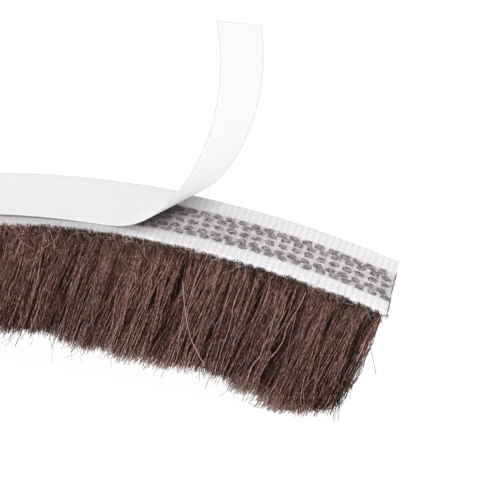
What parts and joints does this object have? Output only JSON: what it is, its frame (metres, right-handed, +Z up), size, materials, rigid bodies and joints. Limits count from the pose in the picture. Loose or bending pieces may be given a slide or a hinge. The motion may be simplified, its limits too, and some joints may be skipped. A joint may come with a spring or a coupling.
{
  "type": "brush seal strip",
  "caption": "Self-adhesive brush seal strip: woven white tape with a dense brown pile, its paper liner peeled back at one end.",
  "frame": {"origin": "on the flat of the brush tips, under the middle of the strip's length", "axes": "+X along the strip to the peeled end, +Y to the tape's far edge, +Z up from the brush tips to the adhesive face"},
  "size_m": [1.0046, 0.02, 0.0458],
  "materials": {
    "woven_tape": "woven polypropylene yarn, matt",
    "pile_fibre": "dense cut fibre pile, dark brown",
    "liner_paper": "smooth coated paper"
  },
  "bodies": {
    "root": {"backing": "woven_tape", "pile": "pile_fibre", "release_liner": "liner_paper"}
  },
  "joints": []
}
